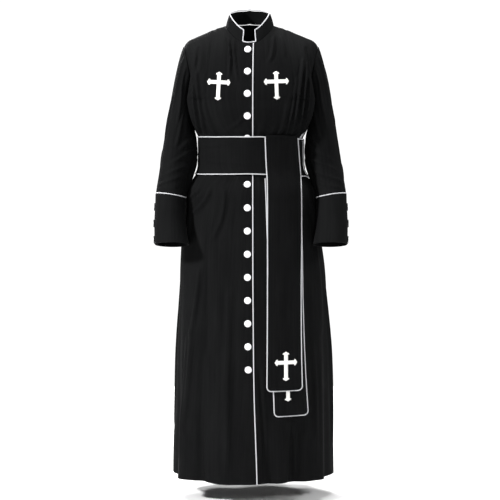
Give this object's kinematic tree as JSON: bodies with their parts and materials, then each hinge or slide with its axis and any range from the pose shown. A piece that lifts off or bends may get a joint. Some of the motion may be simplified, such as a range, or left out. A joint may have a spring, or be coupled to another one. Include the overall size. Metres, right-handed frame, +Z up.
{
  "type": "cassock",
  "caption": "Long buttoned cassock with a stand collar, piped edges and deep cuffs, worn open and hollow, with a waist band whose two tails hang at the front",
  "frame": {"origin": "between the shoulders at the foot of the collar, where the wearer carries the garment", "axes": "+Z up, the front faces -Y, the wearer's left is +X"},
  "size_m": [0.5709, 0.3417, 1.3777],
  "materials": {
    "cloth": "matte fine suiting",
    "piping": "white corded piping",
    "button": "white domed buttons",
    "cross": "white satin applique"
  },
  "bodies": {
    "root": {"front_right": "cloth", "side_front_right": "cloth", "side_back_right": "cloth", "back_right": "cloth", "sleeve_right": "cloth", "cuff_right": "cloth", "front_left": "cloth", "side_front_left": "cloth", "side_back_left": "cloth", "back_left": "cloth", "sleeve_left": "cloth", "cuff_left": "cloth", "collar": "cloth", "band": "cloth", "band_keeper": "piping", "tail_front": "cloth", "tail_back": "cloth", "piping_collar": "piping", "piping_placket": "piping", "piping_cuff_left": "piping", "piping_cuff_right": "piping", "piping_band_top": "piping", "piping_band_bottom": "piping", "piping_band_end": "piping", "piping_tail_front": "piping", "piping_tail_back": "piping", "button_front_01": "button", "button_front_02": "button", "button_front_03": "button", "button_front_04": "button", "button_front_05": "button", "button_front_06": "button", "button_front_07": "button", "button_front_08": "button", "button_front_09": "button", "button_front_10": "button", "button_front_11": "button", "button_front_12": "button", "button_front_13": "button", "button_front_14": "button", "button_front_15": "button", "button_cuff_left_1": "button", "button_cuff_left_2": "button", "button_cuff_left_3": "button", "button_cuff_right_1": "button", "button_cuff_right_2": "button", "button_cuff_right_3": "button", "cross_chest_right": "cross", "cross_chest_left": "cross", "cross_tail_front": "cross", "cross_tail_back": "cross"}
  },
  "joints": []
}
